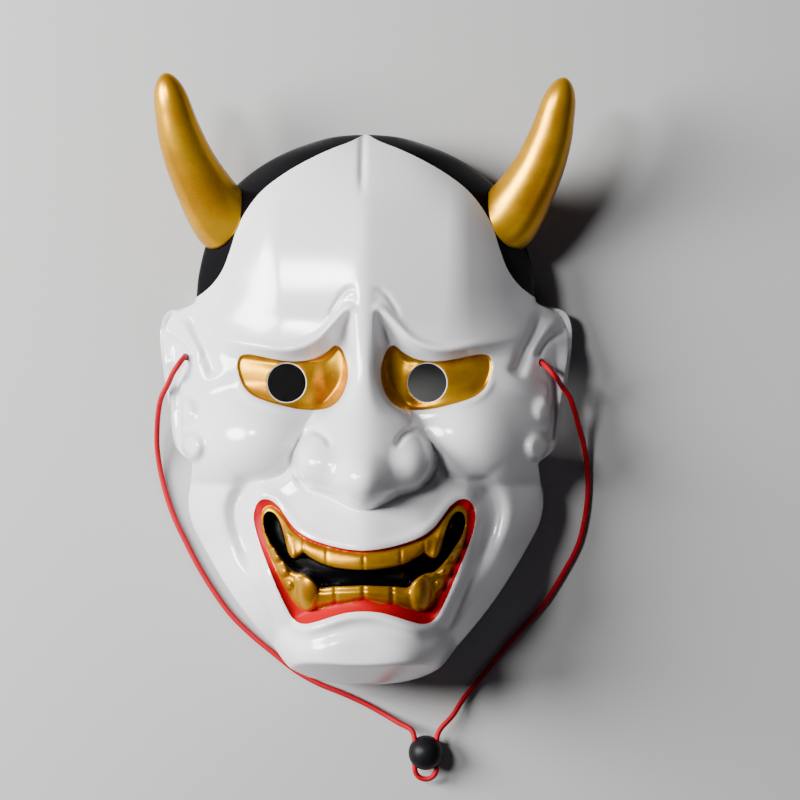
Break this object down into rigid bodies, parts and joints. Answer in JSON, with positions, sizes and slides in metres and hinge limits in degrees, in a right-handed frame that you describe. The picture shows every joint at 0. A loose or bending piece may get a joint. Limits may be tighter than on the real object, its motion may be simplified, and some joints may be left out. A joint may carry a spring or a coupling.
{
  "type": "hannya mask",
  "caption": "Moulded horned demon mask with carved brow, bared teeth, eye holes and an elastic cord with a bead.",
  "frame": {"origin": "centre of the mask and horns in plan, on the plane of the flat back rim that the mask lies on", "axes": "+Z out of the face, +Y towards the forehead and horns, +X towards the right ear as seen from in front"},
  "size_m": [0.2033, 0.3237, 0.0886],
  "materials": {
    "shell_gloss": "glossy white moulding with black, gold and red gloss paint",
    "horn_gold": "metallic gold paint on a moulded horn",
    "cord_red": "smooth red elastic cord",
    "bead_black": "satin black ball"
  },
  "bodies": {
    "root": {"mask_shell": "shell_gloss", "horn_left": "horn_gold", "horn_right": "horn_gold", "cord": "cord_red", "cord_bead": "bead_black", "knot_left": "cord_red", "knot_right": "cord_red"}
  },
  "joints": []
}
